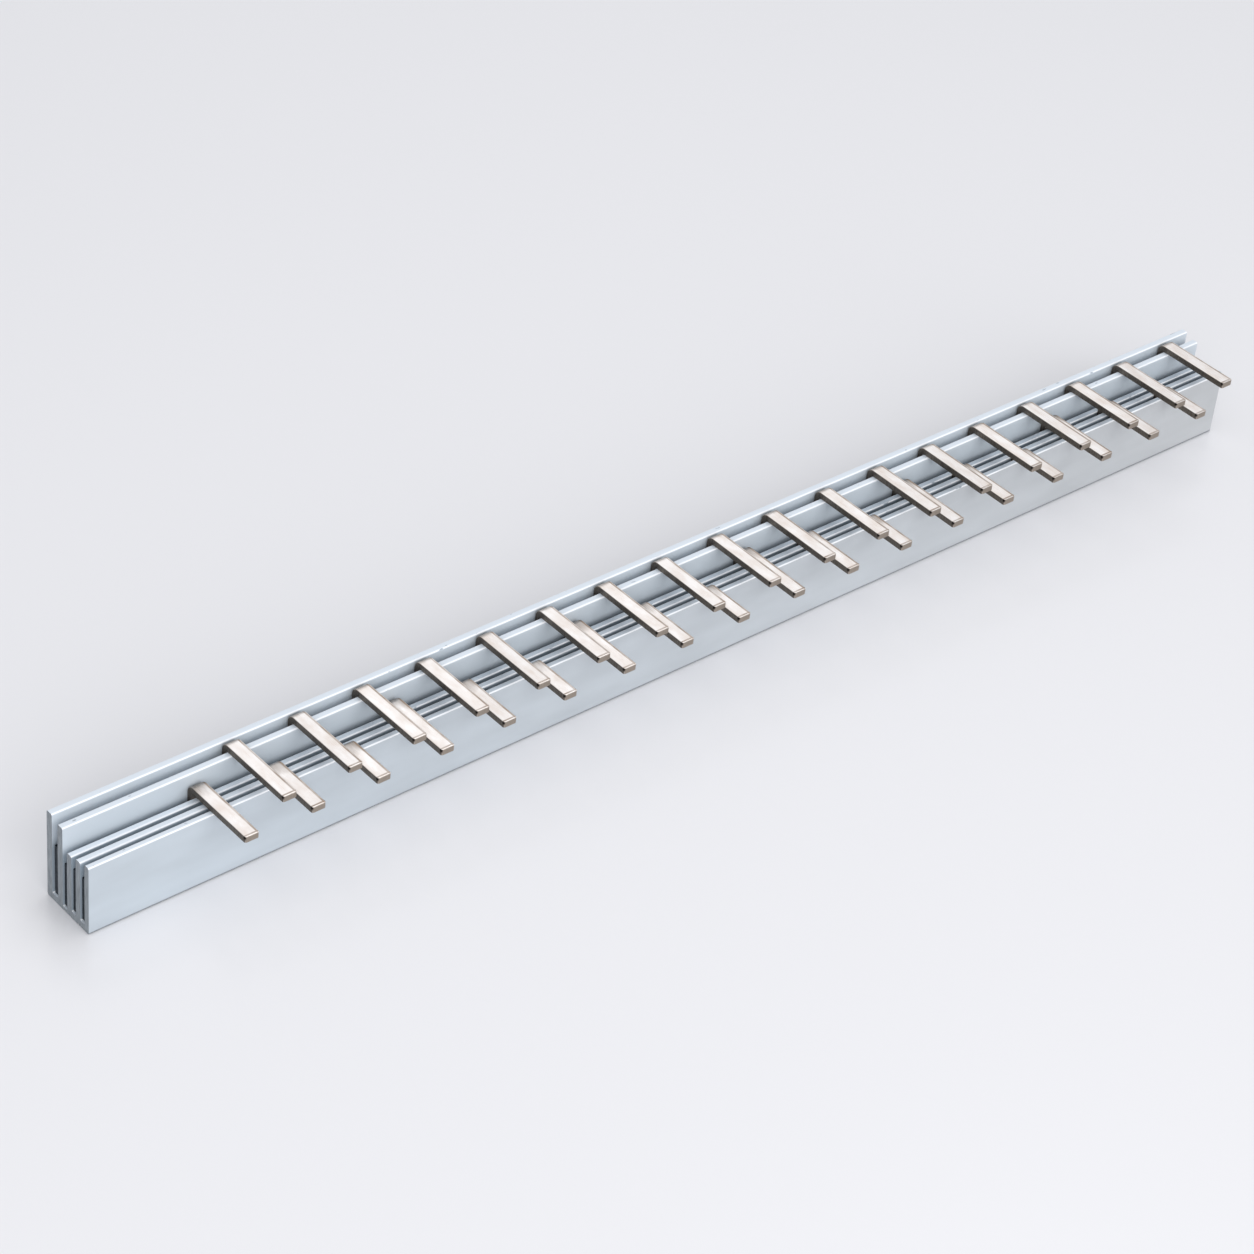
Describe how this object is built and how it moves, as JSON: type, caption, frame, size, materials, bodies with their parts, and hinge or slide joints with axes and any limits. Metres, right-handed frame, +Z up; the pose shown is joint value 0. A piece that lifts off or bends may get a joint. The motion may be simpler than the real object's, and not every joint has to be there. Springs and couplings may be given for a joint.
{
  "type": "comb busbar",
  "caption": "Comb busbar for modular breakers: an insulating profile with slots that hold stamped phase and neutral combs, whose flat pins bend forward over its walls.",
  "frame": {"origin": "middle of the profile's flat underside, half-way along its length and its depth", "axes": "+X along the bar towards the end where the pins start nearer the profile's end, +Y towards the back wall and the neutral slot, away from the pins' tips, +Z up out of the slots"},
  "size_m": [0.358, 0.0281, 0.0246],
  "materials": {
    "insulator": "satin extruded PVC, light blue-grey",
    "plated_copper": "tin-plated copper with a soft warm sheen, bare brownish edges where it was cut"
  },
  "bodies": {
    "root": {"profile": "insulator", "neutral_comb": "plated_copper", "phase_comb_1": "plated_copper", "phase_comb_2": "plated_copper", "phase_comb_3": "plated_copper"}
  },
  "joints": []
}
